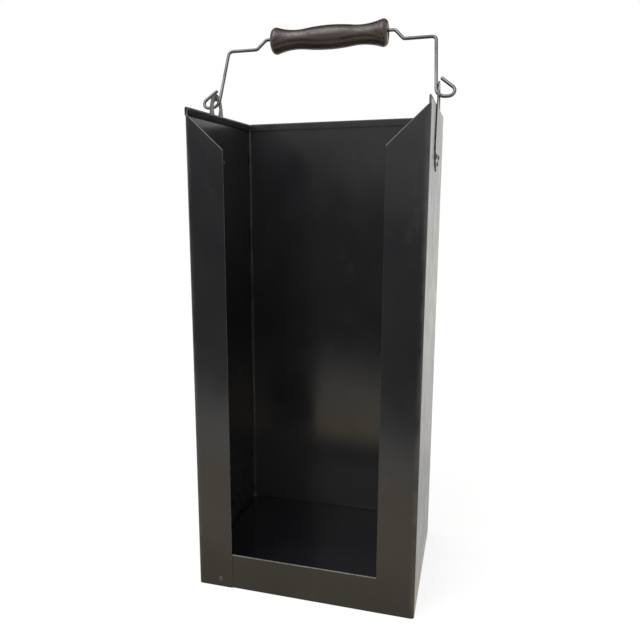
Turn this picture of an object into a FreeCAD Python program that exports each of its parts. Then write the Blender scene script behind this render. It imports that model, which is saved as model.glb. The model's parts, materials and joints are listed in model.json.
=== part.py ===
"""Briquette carrier: a folded sheet-steel box with an open front, a raised floor and a wire bail.

Millimetres. The origin is on the ground at the middle of the box, +Z is up and the open front faces -Y.
"""
import FreeCAD, Part
import math
import os
from types import SimpleNamespace

import Sketcher

FOLDER = "parts"
ORIGIN_POINT = (-1, 1)
X_AXIS = -1
Y_AXIS = X_AXIS - 1
POINTS = ("edge", "start", "end", "centre")
START = POINTS.index("start")
END = POINTS.index("end")
CENTRE = POINTS.index("centre")
LEFT_TURN = 1
RIGHT_TURN = -1

DIMENSIONS = {
    # Folded body
    "width": 205.0,
    "depth": 165.0,
    "rim_height": 445.0,
    "sheet": 0.8,
    "bend_radius": 2.0,
    "flange_width": 34.0,
    "mitre_below_rim": 4.5,
    "mitre_drop": 32.0,
    "lip_height": 34.5,
    "lap_width": 26.0,
    "lap_gap": 0.1,
    "hem_height": 7.0,
    "left_hem_gap": 1.6,
    "left_hem_foot_gap": 0.3,
    "right_hem_gap": 0.3,
    "back_hem_gap": 0.6,
    "hem_setback": 0.25,
    "corner_relief": 2.2,
    # Raised floor
    "floor_height": 16.7,
    "floor_lift": 0.5,
    "floor_gap": 0.15,
    "floor_notch": 4.0,
    # Rivet through the lap at the foot of the left flange
    "lap_rivet_inset": 22.5,
    "lap_rivet_height": 8.0,
    # Ears
    "ear_thickness": 1.0,
    "ear_forward": 8.0,
    "eye_rise": 5.2,
    "eye_radius": 8.2,
    "eye_ring_radius": 15.0,
    "ear_plate_radius": 23.0,
    "ear_plate_drop": 38.0,
    "ear_rivet_spread": 14.0,
    "ear_rivet_drop": 10.5,
    "ear_tip_rivet_drop": 16.5,
    # Rivets
    "rivet_diameter": 3.0,
    "rivet_clearance": 0.1,
    "rivet_head_diameter": 5.6,
    "rivet_head_height": 1.2,
    "rivet_tail_diameter": 4.6,
    "rivet_tail_height": 0.8,
    # Bail
    "wire_diameter": 3.0,
    "pivot_rise": 7.5,
    "bail_lean": 23.0,
    "bail_clearance": 0.3,
    "leg_lean": 3.3,
    "shoulder_rise": 58.7,
    "grip_rise": 68.4,
    "jog_run": 8.1,
    "jog_bend": 4.0,
    "shoulder_bend": 4.0,
    "foot_bend": 8.0,
    "hook_reach": 23.2,
    "hook_bend": 5.0,
    "hook_tip_offset": 3.4,
    "hook_tip_rise": 17.8,
    # Turned grip
    "grip_length": 109.0,
    "grip_play": 6.4,
    "grip_bore_clearance": 2.05,
    "grip_rest_gap": 0.2,
    "grip_end_diameter": 24.0,
    "grip_neck_diameter": 17.4,
    "grip_belly_diameter": 21.4,
    "grip_bead_radius": 4.5,
    "grip_bead_inset": 4.2,
    "grip_neck_inset": 24.5,
    # How far a cutting outline runs past the metal it removes
    "cut_margin": 2.0,
}


class Size:
    """A length that carries its value and its formula on the sheet of dimensions."""

    def __init__(self, value, formula):
        self.value = float(value)
        self.formula = formula

    def combined(self, other, value, sign):
        return Size(value, f"({self.formula} {sign} {other.formula})")

    def __add__(self, other):
        other = as_size(other)
        return self.combined(other, self.value + other.value, "+")

    def __sub__(self, other):
        other = as_size(other)
        return self.combined(other, self.value - other.value, "-")

    def __mul__(self, other):
        other = as_size(other)
        return self.combined(other, self.value * other.value, "*")

    def __truediv__(self, other):
        other = as_size(other)
        return self.combined(other, self.value / other.value, "/")

    def __neg__(self):
        return Size(-self.value, f"(0 - {self.formula})")


def as_size(number):
    return number if isinstance(number, Size) else Size(number, repr(float(number)))


def root(size):
    return Size(math.sqrt(size.value), f"sqrt({size.formula})")


def sine(angle):
    return Size(math.sin(math.radians(angle.value)), f"sin({angle.formula})")


def cosine(angle):
    return Size(math.cos(math.radians(angle.value)), f"cos({angle.formula})")


ZERO = as_size(0)

doc = FreeCAD.newDocument("BriquetteCarrier")
sheet = doc.addObject("Spreadsheet::Sheet", "Sizes")
for row, (alias, number) in enumerate(DIMENSIONS.items(), start=1):
    sheet.set(f"A{row}", alias)
    sheet.set(f"B{row}", str(number))
    sheet.setAlias(f"B{row}", alias)
doc.recompute()
s = SimpleNamespace(**{alias: Size(number, f"Sizes.{alias}") for alias, number in DIMENSIONS.items()})

# Places that several pieces share
bend_outer = s.bend_radius + s.sheet
wall_x = s.width / 2
wall_inside_x = wall_x - s.sheet
back_y = s.depth / 2
back_inside_y = back_y - s.sheet
left_front_y = -back_y
panel_front_y = left_front_y + s.sheet + s.lap_gap
panel_inside_y = panel_front_y + s.sheet
left_wall_front_y = left_front_y + bend_outer
right_wall_front_y = panel_front_y + bend_outer
hem_foot = s.rim_height - s.hem_height
wall_top = s.rim_height - s.corner_relief
flange_top = s.rim_height - s.mitre_below_rim
flange_edge_x = wall_x - s.flange_width
mitre_end = flange_top - s.mitre_drop
ear_y = -s.ear_forward
eye_z = s.rim_height + s.eye_rise
ear_plate_z = eye_z - s.ear_plate_drop
pivot_z = s.rim_height + s.pivot_rise
rivet_hole_radius = s.rivet_diameter / 2 + s.rivet_clearance
lap_rivet_x = -wall_x + s.lap_rivet_inset
floor_front_y = panel_inside_y + s.floor_gap
ear_rivets = {
    "front": (ear_y - s.ear_rivet_spread, ear_plate_z - s.ear_rivet_drop),
    "rear": (ear_y + s.ear_rivet_spread, ear_plate_z - s.ear_rivet_drop),
    "tip": (ear_y, ear_plate_z - s.ear_tip_rivet_drop),
}


def new_body(label):
    body = doc.addObject("PartDesign::Body", label)
    body.Label = label
    return body


def origin_plane(body, role):
    return next(feature for feature in body.Origin.OriginFeatures if feature.Role == role)


def new_sketch(body, name, plane, offset=None):
    sketch = body.newObject("Sketcher::SketchObject", name)
    sketch.AttachmentSupport = [(origin_plane(body, plane), "")]
    sketch.MapMode = "FlatFace"
    if offset is not None:
        sketch.setExpression("AttachmentOffset.Base.z", offset.formula)
    return sketch


def bind(sketch, constraint, size):
    index = sketch.addConstraint(constraint)
    sketch.setExpression(f"Constraints[{index}]", size.formula)


def place_point(sketch, point, x, y):
    """Ties a point of the sketch, given as (geometry, position), to its x and y."""
    for kind, axis, distance in (("DistanceX", Y_AXIS, x), ("DistanceY", X_AXIS, y)):
        if distance is ZERO:
            sketch.addConstraint(Sketcher.Constraint("PointOnObject", *point, axis))
        elif distance.value > 0:
            bind(sketch, Sketcher.Constraint(kind, *ORIGIN_POINT, *point, distance.value), distance)
        else:
            bind(sketch, Sketcher.Constraint(kind, *point, *ORIGIN_POINT, -distance.value), -distance)


def flat(corner):
    return FreeCAD.Vector(corner[0].value, corner[1].value, 0)


def arc_between(start, end, radius, turn):
    """The shorter arc from start to end, bending to the left or to the right."""
    middle = (start + end) / 2
    half = (end - start) / 2
    rise = math.sqrt(max(radius**2 - half.Length**2, 0))
    across = FreeCAD.Vector(-half.y, half.x, 0).normalize()
    centre = middle + across * rise * turn
    circle = Part.Circle(centre, FreeCAD.Vector(0, 0, 1), radius)
    first, last = (start, end) if turn == LEFT_TURN else (end, start)
    return Part.ArcOfCircle(circle, circle.parameter(first), circle.parameter(last))


def draw_outline(sketch, corners):
    """Draws a closed outline. A corner is (x, y), or (x, y, radius, turn) where an arc leads to it."""
    joints = []
    for index, corner in enumerate(corners):
        start = flat(corners[index - 1])
        end = flat(corner)
        turn = LEFT_TURN
        if len(corner) == 2:
            geometry = sketch.addGeometry(Part.LineSegment(start, end))
        else:
            turn = corner[3]
            geometry = sketch.addGeometry(arc_between(start, end, corner[2].value, turn))
            bind(sketch, Sketcher.Constraint("Radius", geometry, corner[2].value), corner[2])
        leaves, arrives = (START, END) if turn == LEFT_TURN else (END, START)
        joints.append(((geometry, leaves), (geometry, arrives)))
    for index, corner in enumerate(corners):
        arrival = joints[index][1]
        departure = joints[(index + 1) % len(corners)][0]
        sketch.addConstraint(Sketcher.Constraint("Coincident", *arrival, *departure))
        place_point(sketch, arrival, corner[0], corner[1])
    return sketch


def draw_circles(sketch, centres, radius):
    for x, y in centres:
        centre = FreeCAD.Vector(x.value, y.value, 0)
        geometry = sketch.addGeometry(Part.Circle(centre, FreeCAD.Vector(0, 0, 1), radius.value))
        bind(sketch, Sketcher.Constraint("Radius", geometry, radius.value), radius)
        place_point(sketch, (geometry, CENTRE), x, y)
    return sketch


def draw_bent_wire(sketch, corners):
    """Draws an open path of straight runs. Each inner corner (x, y, radius) is rounded by a tangent arc."""
    points = [flat(corner) for corner in corners]
    starts = [points[0]]
    ends = []
    arcs = []
    for index, corner in enumerate(corners[1:-1], start=1):
        inward = (points[index - 1] - points[index]).normalize()
        outward = (points[index + 1] - points[index]).normalize()
        radius = corner[2].value
        reach = radius / math.tan(inward.getAngle(outward) / 2)
        ends.append(points[index] + inward * reach)
        starts.append(points[index] + outward * reach)
        turn = LEFT_TURN if inward.cross(outward).z < 0 else RIGHT_TURN
        arcs.append((arc_between(ends[-1], starts[-1], radius, turn), turn))
    ends.append(points[-1])
    runs = [sketch.addGeometry(Part.LineSegment(a, b)) for a, b in zip(starts, ends)]
    for index, (arc, turn) in enumerate(arcs):
        corner = corners[index + 1]
        geometry = sketch.addGeometry(arc)
        leaves, arrives = (START, END) if turn == LEFT_TURN else (END, START)
        sketch.addConstraint(Sketcher.Constraint("Tangent", runs[index], END, geometry, leaves))
        sketch.addConstraint(Sketcher.Constraint("Tangent", geometry, arrives, runs[index + 1], START))
        bind(sketch, Sketcher.Constraint("Radius", geometry, corner[2].value), corner[2])
        mark = sketch.addGeometry(Part.Point(points[index + 1]), True)
        place_point(sketch, (mark, START), corner[0], corner[1])
        sketch.addConstraint(Sketcher.Constraint("PointOnObject", mark, START, runs[index]))
        sketch.addConstraint(Sketcher.Constraint("PointOnObject", mark, START, runs[index + 1]))
    place_point(sketch, (runs[0], START), corners[0][0], corners[0][1])
    place_point(sketch, (runs[-1], END), corners[-1][0], corners[-1][1])
    return sketch


def add_pad(body, name, sketch, length, reverse=False, symmetric=False):
    pad = body.newObject("PartDesign::Pad", name)
    pad.Profile = sketch
    pad.setExpression("Length", length.formula)
    pad.Reversed = reverse
    pad.Midplane = symmetric
    return pad


def add_pocket(body, name, sketch, length, reverse=False, symmetric=False):
    """Cuts a pocket and makes sure that it removed metal."""
    doc.recompute()
    before = body.Shape.Volume
    pocket = body.newObject("PartDesign::Pocket", name)
    pocket.Profile = sketch
    pocket.setExpression("Length", length.formula)
    pocket.Reversed = reverse
    pocket.Midplane = symmetric
    doc.recompute()
    if body.Shape.Volume >= before:
        raise ValueError(f"{name} cuts nothing")
    return pocket


def add_mirror(body, name, feature, plane):
    mirrored = body.newObject("PartDesign::Mirrored", name)
    mirrored.Originals = [feature]
    mirrored.MirrorPlane = (origin_plane(body, plane), [""])
    body.Tip = mirrored
    return mirrored


def add_turned(body, name, sketch, axis):
    turned = body.newObject("PartDesign::Revolution", name)
    turned.Profile = sketch
    turned.ReferenceAxis = (sketch, [axis])
    turned.Angle = 360
    return turned


def hem_section(face, inward, gap, foot_gap):
    """Upside-down U of a hem, drawn across the wall whose outer face is at the given place.

    The free leg stands off the wall by the first gap at the fold and by the foot gap at its edge.
    """
    turn = RIGHT_TURN if inward > 0 else LEFT_TURN
    inside_radius = gap / 2
    radius = s.sheet + inside_radius
    fold = s.rim_height - radius
    middle = face + radius * inward
    far = face + radius * (2 * inward)
    wall_inner = face + s.sheet * inward
    far_inner = far - s.sheet * inward
    far_foot_inner = wall_inner + foot_gap * inward
    far_foot = far_foot_inner + s.sheet * inward
    return [
        (face, hem_foot),
        (face, fold),
        (middle, s.rim_height, radius, turn),
        (far, fold, radius, turn),
        (far_foot, hem_foot),
        (far_foot_inner, hem_foot),
        (far_inner, fold),
        (middle, fold + inside_radius, inside_radius, -turn),
        (wall_inner, fold, inside_radius, -turn),
        (wall_inner, hem_foot),
    ]


def channel_section(low, high):
    """Plate with a flange turned down at both ends, for the raised floor."""
    top = s.floor_height
    bend = top - bend_outer
    return [
        (low, s.floor_lift),
        (low, bend),
        (low + bend_outer, top, bend_outer, RIGHT_TURN),
        (high - bend_outer, top),
        (high, bend, bend_outer, RIGHT_TURN),
        (high, s.floor_lift),
        (high - s.sheet, s.floor_lift),
        (high - s.sheet, bend),
        (high - bend_outer, top - s.sheet, s.bend_radius, LEFT_TURN),
        (low + bend_outer, top - s.sheet),
        (low + s.sheet, bend, s.bend_radius, LEFT_TURN),
        (low + s.sheet, s.floor_lift),
    ]


def make_body_shell():
    """One blank: lip and right flange, right wall, back, left wall, left flange, with a hemmed rim."""
    body = new_body("body_shell")

    # Front panel: bend, right flange and lip, with the end of the lip behind the left flange
    lap_end_x = -flange_edge_x - s.lap_width
    panel_plan = draw_outline(
        new_sketch(body, "panel_plan", "XY_Plane"),
        [
            (wall_x, right_wall_front_y),
            (wall_x - bend_outer, panel_front_y, bend_outer, RIGHT_TURN),
            (lap_end_x, panel_front_y),
            (lap_end_x, panel_inside_y),
            (wall_x - bend_outer, panel_inside_y),
            (wall_inside_x, right_wall_front_y, s.bend_radius, LEFT_TURN),
        ],
    )
    add_pad(body, "front_panel", panel_plan, flange_top)
    window = draw_outline(
        new_sketch(body, "window_outline", "XZ_Plane"),
        [
            (lap_end_x - s.cut_margin, s.lip_height),
            (flange_edge_x, s.lip_height),
            (flange_edge_x, mitre_end),
            (wall_x, flange_top),
            (wall_x, flange_top + s.cut_margin),
            (lap_end_x - s.cut_margin, flange_top + s.cut_margin),
        ],
    )
    add_pocket(body, "window", window, s.depth, reverse=True)

    # Side walls and back
    wall_plan = draw_outline(
        new_sketch(body, "wall_plan", "XY_Plane"),
        [
            (wall_x, right_wall_front_y),
            (wall_x, back_y - bend_outer),
            (wall_x - bend_outer, back_y, bend_outer, LEFT_TURN),
            (-wall_x + bend_outer, back_y),
            (-wall_x, back_y - bend_outer, bend_outer, LEFT_TURN),
            (-wall_x, left_wall_front_y),
            (-wall_inside_x, left_wall_front_y),
            (-wall_inside_x, back_y - bend_outer),
            (-wall_x + bend_outer, back_inside_y, s.bend_radius, RIGHT_TURN),
            (wall_x - bend_outer, back_inside_y),
            (wall_inside_x, back_y - bend_outer, s.bend_radius, RIGHT_TURN),
            (wall_inside_x, right_wall_front_y),
        ],
    )
    add_pad(body, "walls", wall_plan, wall_top)

    # Left flange, in front of the end of the lip, with its top cut to a mitre
    flange_plan = draw_outline(
        new_sketch(body, "flange_plan", "XY_Plane"),
        [
            (-wall_x, left_wall_front_y),
            (-wall_x + bend_outer, left_front_y, bend_outer, LEFT_TURN),
            (-flange_edge_x, left_front_y),
            (-flange_edge_x, left_front_y + s.sheet),
            (-wall_x + bend_outer, left_front_y + s.sheet),
            (-wall_inside_x, left_wall_front_y, s.bend_radius, RIGHT_TURN),
        ],
    )
    add_pad(body, "left_flange", flange_plan, flange_top)
    mitre = draw_outline(
        new_sketch(body, "mitre_outline", "XZ_Plane", -left_wall_front_y),
        [
            (-wall_x, flange_top),
            (-flange_edge_x, mitre_end),
            (-flange_edge_x + s.cut_margin, mitre_end),
            (-flange_edge_x + s.cut_margin, flange_top + s.cut_margin),
            (-wall_x, flange_top + s.cut_margin),
        ],
    )
    add_pocket(body, "left_mitre", mitre, bend_outer + s.cut_margin, reverse=True)

    # Hems of the two side walls and of the back
    hem_start = back_y - s.hem_setback
    hem_length = hem_start + back_y - bend_outer
    for name, face, inward, gap, foot_gap in (
        ("left_hem", -wall_x, 1, s.left_hem_gap, s.left_hem_foot_gap),
        ("right_hem", wall_x, -1, s.right_hem_gap, s.right_hem_gap),
    ):
        side_section = draw_outline(
            new_sketch(body, f"{name}_section", "XZ_Plane", hem_start),
            hem_section(face, inward, gap, foot_gap),
        )
        add_pad(body, name, side_section, hem_length, reverse=True)
    back_section = draw_outline(
        new_sketch(body, "back_hem_section", "YZ_Plane"),
        hem_section(back_y, -1, s.back_hem_gap, s.back_hem_gap),
    )
    add_pad(body, "back_hem", back_section, s.width - bend_outer * 2, symmetric=True)

    # Rivet holes through both side walls and through the lap
    holes = draw_circles(
        new_sketch(body, "ear_rivet_holes", "YZ_Plane"),
        ear_rivets.values(),
        rivet_hole_radius,
    )
    add_pocket(body, "ear_rivet_bores", holes, s.width + s.cut_margin, symmetric=True)
    lap_hole = draw_circles(
        new_sketch(body, "lap_rivet_hole", "XZ_Plane"),
        [(lap_rivet_x, s.lap_rivet_height)],
        rivet_hole_radius,
    )
    add_pocket(body, "lap_rivet_bore", lap_hole, s.depth, reverse=True)
    return body


def make_floor_pan():
    """Raised floor: two crossed channels leave a notch at each corner for the bends of the walls."""
    body = new_body("floor_pan")
    side_x = wall_inside_x - s.floor_gap
    rear_y = back_inside_y - s.floor_gap
    notches = s.floor_notch * 2
    side_section = draw_outline(
        new_sketch(body, "side_section", "XZ_Plane", -(floor_front_y + s.floor_notch)),
        channel_section(-side_x, side_x),
    )
    add_pad(body, "side_flanges", side_section, rear_y - floor_front_y - notches, reverse=True)
    end_section = draw_outline(
        new_sketch(body, "end_section", "YZ_Plane"),
        channel_section(floor_front_y, rear_y),
    )
    add_pad(body, "end_flanges", end_section, side_x * 2 - notches, symmetric=True)
    hole = draw_circles(
        new_sketch(body, "lap_rivet_hole", "XZ_Plane"),
        [(lap_rivet_x, s.lap_rivet_height)],
        rivet_hole_radius,
    )
    add_pocket(body, "lap_rivet_bore", hole, s.depth, reverse=True)
    return body


def make_ear(label, side):
    """Pear-shaped plate on the outside of a wall: a ring round the eye, tangent to a wider riveted plate."""
    body = new_body(label)
    slope = (s.ear_plate_radius - s.eye_ring_radius) / s.ear_plate_drop
    reach = root(as_size(1) - slope * slope)
    ring_y = s.eye_ring_radius * reach
    ring_z = eye_z + s.eye_ring_radius * slope
    plate_y = s.ear_plate_radius * reach
    plate_z = ear_plate_z + s.ear_plate_radius * slope
    face = wall_x if side > 0 else -wall_x
    blank = draw_outline(
        new_sketch(body, "ear_outline", "YZ_Plane", face),
        [
            (ear_y + ring_y, ring_z),
            (ear_y, eye_z + s.eye_ring_radius, s.eye_ring_radius, LEFT_TURN),
            (ear_y - ring_y, ring_z, s.eye_ring_radius, LEFT_TURN),
            (ear_y - plate_y, plate_z),
            (ear_y, ear_plate_z - s.ear_plate_radius, s.ear_plate_radius, LEFT_TURN),
            (ear_y + plate_y, plate_z, s.ear_plate_radius, LEFT_TURN),
        ],
    )
    add_pad(body, "plate", blank, s.ear_thickness, reverse=side < 0)
    eye = draw_circles(new_sketch(body, "eye_outline", "YZ_Plane"), [(ear_y, eye_z)], s.eye_radius)
    through = s.width + s.ear_thickness * 2 + s.cut_margin
    add_pocket(body, "eye", eye, through, symmetric=True)
    holes = draw_circles(new_sketch(body, "rivet_holes", "YZ_Plane"), ear_rivets.values(), rivet_hole_radius)
    add_pocket(body, "rivet_bores", holes, through, symmetric=True)
    return body


def make_rivet(label, grip):
    """Rivet along +Z: domed head above the XY plane, shank through the metal, flat closing head below."""
    body = new_body(label)
    head = s.rivet_head_diameter / 2
    shank = s.rivet_diameter / 2
    tail = s.rivet_tail_diameter / 2
    dome = (head * head + s.rivet_head_height * s.rivet_head_height) / (s.rivet_head_height * 2)
    foot = -grip - s.rivet_tail_height
    profile = draw_outline(
        new_sketch(body, "rivet_profile", "XZ_Plane"),
        [
            (ZERO, foot),
            (tail, foot),
            (tail, -grip),
            (shank, -grip),
            (shank, ZERO),
            (head, ZERO),
            (ZERO, s.rivet_head_height, dome, LEFT_TURN),
        ],
    )
    add_turned(body, "rivet", profile, "V_Axis")
    return body


def make_bail_wire():
    """Bent round wire, drawn upright about its pivot: the right half is swept and then mirrored."""
    body = new_body("bail_wire")
    wire_radius = s.wire_diameter / 2
    foot_x = wall_x - wire_radius - s.bail_clearance
    jog_top_x = s.grip_length / 2 + s.grip_play
    path = draw_bent_wire(
        new_sketch(body, "wire_path", "XZ_Plane"),
        [
            (ZERO, s.grip_rise),
            (jog_top_x, s.grip_rise, s.jog_bend),
            (jog_top_x + s.jog_run, s.shoulder_rise, s.jog_bend),
            (foot_x - s.leg_lean, s.shoulder_rise, s.shoulder_bend),
            (foot_x, ZERO, s.foot_bend),
            (foot_x + s.hook_reach, ZERO, s.hook_bend),
            (foot_x + s.hook_tip_offset, s.hook_tip_rise),
        ],
    )
    section = draw_circles(
        new_sketch(body, "wire_section", "YZ_Plane"),
        [(ZERO, s.grip_rise)],
        wire_radius,
    )
    doc.recompute()
    half = body.newObject("PartDesign::AdditivePipe", "right_half")
    half.Profile = section
    half.Spine = (path, [f"Edge{number}" for number in range(1, len(path.Shape.Edges) + 1)])
    doc.recompute()
    add_mirror(body, "left_half", half, "YZ_Plane")
    return body


def make_grip():
    """Turned grip about the X axis: belly, necks and end beads are arcs that run into each other."""
    body = new_body("grip")
    end_x = s.grip_length / 2
    bead_x = end_x - s.grip_bead_inset
    neck_x = end_x - s.grip_neck_inset
    bead = s.grip_end_diameter / 2
    neck = s.grip_neck_diameter / 2
    belly = s.grip_belly_diameter / 2
    bore = s.wire_diameter / 2 + s.grip_bore_clearance

    # Two arcs that meet without a corner: the sum of their radii follows from the run and the rise between them
    belly_rise = belly - neck
    bead_rise = bead - neck
    bead_run = bead_x - neck_x
    belly_radii = (neck_x * neck_x + belly_rise * belly_rise) / (belly_rise * 2)
    bead_radii = (bead_run * bead_run + bead_rise * bead_rise) / (bead_rise * 2)
    neck_radius = bead_radii - s.grip_bead_radius
    belly_radius = belly_radii - neck_radius
    belly_share = belly_radius / belly_radii
    neck_share = neck_radius / bead_radii
    inset = s.grip_bead_inset
    face = bead - s.grip_bead_radius + root(s.grip_bead_radius * s.grip_bead_radius - inset * inset)
    profile = draw_outline(
        new_sketch(body, "grip_profile", "XZ_Plane"),
        [
            (ZERO, bore),
            (end_x, bore),
            (end_x, face),
            (bead_x, bead, s.grip_bead_radius, LEFT_TURN),
            (neck_x + bead_run * neck_share, neck + bead_rise * neck_share, s.grip_bead_radius, LEFT_TURN),
            (neck_x * belly_share, belly - belly_rise * belly_share, neck_radius, RIGHT_TURN),
            (ZERO, belly, belly_radius, LEFT_TURN),
        ],
    )
    half = add_turned(body, "right_half", profile, "H_Axis")
    add_mirror(body, "left_half", half, "YZ_Plane")
    return body


def place(body, x, y, z, axis=None, angle=ZERO):
    """Moves a finished piece to its seat, turned about the given axis."""
    if axis is not None:
        body.Placement = FreeCAD.Placement(FreeCAD.Vector(), FreeCAD.Rotation(FreeCAD.Vector(*axis), angle.value))
        body.setExpression("Placement.Rotation.Angle", angle.formula)
    for name, distance in (("x", x), ("y", y), ("z", z)):
        body.setExpression(f"Placement.Base.{name}", distance.formula)
    return body


def build():
    quarter_turn = as_size(90)
    pieces = [make_body_shell(), make_floor_pan()]

    lap_grip = floor_front_y + s.sheet - left_front_y
    lap_rivet = make_rivet("lap_rivet", lap_grip)
    pieces.append(place(lap_rivet, lap_rivet_x, left_front_y, s.lap_rivet_height, (1, 0, 0), quarter_turn))

    ear_grip = s.ear_thickness + s.sheet
    for name, side in (("left", -1), ("right", 1)):
        pieces.append(make_ear(f"{name}_ear", side))
        head_x = (wall_x + s.ear_thickness) * side
        for spot, (y, z) in ear_rivets.items():
            rivet = make_rivet(f"{name}_ear_rivet_{spot}", ear_grip)
            pieces.append(place(rivet, head_x, y, z, (0, side, 0), quarter_turn))

    pieces.append(place(make_bail_wire(), ZERO, ear_y, pivot_z, (-1, 0, 0), s.bail_lean))

    # The loose grip hangs on the wire by the top of its bore
    grip_y = ear_y + s.grip_rise * sine(s.bail_lean)
    grip_drop = s.grip_bore_clearance - s.grip_rest_gap
    grip_z = pivot_z + s.grip_rise * cosine(s.bail_lean) - grip_drop
    pieces.append(place(make_grip(), ZERO, grip_y, grip_z, (-1, 0, 0), s.bail_lean))
    doc.recompute()
    return pieces


def check(pieces):
    """Stops the build where a feature failed or a piece is not one sound solid."""
    for item in doc.Objects:
        if "Invalid" in item.State or "Error" in item.State:
            raise ValueError(f"{item.Label} failed: {item.State}")
    for piece in pieces:
        shape = piece.Shape
        if shape.isNull() or not shape.isValid() or len(shape.Solids) != 1:
            raise ValueError(f"{piece.Label} is not one sound solid")


def export(pieces):
    os.makedirs(FOLDER, exist_ok=True)
    for piece in pieces:
        piece.Shape.exportStep(f"{FOLDER}/{piece.Label}.step")
        box = piece.Shape.BoundBox
        print(f"{piece.Label}: {piece.Shape.Volume:.0f} mm3, z {box.ZMin:.2f} to {box.ZMax:.2f}")


parts = build()
check(parts)
export(parts)
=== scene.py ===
"""Looks of the briquette carrier: a folded, painted sheet with riveted ears, a wire bail and a turned grip.

Metres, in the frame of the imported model: +Z is up and the open front faces -Y.
"""
import json
import math

import bmesh
import bpy
from mathutils import Matrix, Vector


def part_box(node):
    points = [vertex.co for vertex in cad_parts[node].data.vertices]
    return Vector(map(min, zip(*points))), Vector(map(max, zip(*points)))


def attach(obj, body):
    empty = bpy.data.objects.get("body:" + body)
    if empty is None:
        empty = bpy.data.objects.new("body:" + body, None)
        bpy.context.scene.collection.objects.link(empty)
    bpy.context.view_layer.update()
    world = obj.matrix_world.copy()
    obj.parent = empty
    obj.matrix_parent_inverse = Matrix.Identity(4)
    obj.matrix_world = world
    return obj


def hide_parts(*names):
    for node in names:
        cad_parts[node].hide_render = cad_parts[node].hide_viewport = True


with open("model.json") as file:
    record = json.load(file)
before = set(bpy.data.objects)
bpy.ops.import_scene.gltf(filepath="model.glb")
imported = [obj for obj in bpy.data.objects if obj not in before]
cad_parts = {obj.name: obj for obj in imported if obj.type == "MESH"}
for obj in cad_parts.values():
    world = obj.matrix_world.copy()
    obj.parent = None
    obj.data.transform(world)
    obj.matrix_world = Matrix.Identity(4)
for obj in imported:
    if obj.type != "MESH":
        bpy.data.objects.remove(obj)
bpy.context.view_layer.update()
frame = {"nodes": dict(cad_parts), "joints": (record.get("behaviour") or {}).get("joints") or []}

MM = 0.001
joints = {joint["name"]: joint for joint in frame["joints"]}

# Folded sheet
SHEET = 0.8 * MM
BEND_RADIUS = 2.0 * MM
FLANGE_WIDTH = 34.0 * MM
MITRE_BELOW_RIM = 4.5 * MM
MITRE_DROP = 32.0 * MM
LIP_HEIGHT = 34.5 * MM
LAP_WIDTH = 26.0 * MM
LAP_GAP = 0.1 * MM
HEM_HEIGHT = 7.0 * MM
LEFT_HEM_GAP = 1.6 * MM
LEFT_HEM_FOOT_GAP = 0.3 * MM
RIGHT_HEM_GAP = 0.3 * MM
BACK_HEM_GAP = 0.6 * MM
HEM_SETBACK = 0.25 * MM
CORNER_RELIEF = 2.2 * MM
SHEET_EDGE_ROUND = 0.18 * MM
EDGE_SEGMENTS = 2
BEND_STEPS = 6
HEM_STEPS = 8

# Ears
EYE_RADIUS = 8.2 * MM
EYE_RING_RADIUS = 15.0 * MM
EAR_EDGE_ROUND = 0.25 * MM
EAR_STEPS = 36

# Rivets
RIVET_HEAD = 5.6 * MM
RIVET_HEAD_HEIGHT = 1.2 * MM
RIVET_TAIL = 4.6 * MM
RIVET_TAIL_HEIGHT = 0.8 * MM
RIVET_SIDES = 28
RIVET_ARC_POINTS = 9
RIVET_SHOULDER_REACH = 0.35
RIVET_SHOULDER_RISE = 0.61

# Bail
WIRE = 3.0 * MM
BAIL_LEAN = math.radians(23)
BAIL_CLEARANCE = 0.3 * MM
LEG_LEAN = 3.3 * MM
SHOULDER_RISE = 58.7 * MM
GRIP_RISE = 68.4 * MM
JOG_RUN = 8.1 * MM
JOG_BEND = 4.0 * MM
SHOULDER_BEND = 4.0 * MM
FOOT_BEND = 8.0 * MM
HOOK_REACH = 23.2 * MM
HOOK_BEND = 5.0 * MM
HOOK_TIP_OFFSET = 3.4 * MM
HOOK_TIP_RISE = 17.8 * MM
WIRE_END_ROUND = 0.4 * MM
WIRE_SIDES = 24
WIRE_BEND_STEPS = 14

# Turned grip
GRIP_PLAY = 6.4 * MM
GRIP_BORE = 7.1 * MM
GRIP_END = 24.0 * MM
GRIP_NECK = 17.4 * MM
GRIP_BELLY = 21.4 * MM
GRIP_BEAD_RADIUS = 4.5 * MM
GRIP_BEAD_INSET = 4.2 * MM
GRIP_NECK_INSET = 24.5 * MM
GRIP_SIDES = 72
GRIP_ARC_STEPS = 24

# Points closer than this are one point
SEW_DISTANCE = 0.01 * MM
MERGE_DISTANCE = 0.001 * MM

# Paint: sizes of its marks, how far they raise the surface, and how strongly they show
CLOUD = 85 * MM
PATCH = 22 * MM
SCUFF = 11 * MM
SCUFF_SHARE = 0.14
HAIRLINE = 0.8 * MM
HAIRLINE_SHARE = 0.03
HAIRLINE_ROUGHNESS = 0.05
DUST = 0.9 * MM
DUST_DEPTH = 0.004 * MM
DUST_SHARE = 0.1
DUST_ROUGHNESS = 0.1
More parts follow.
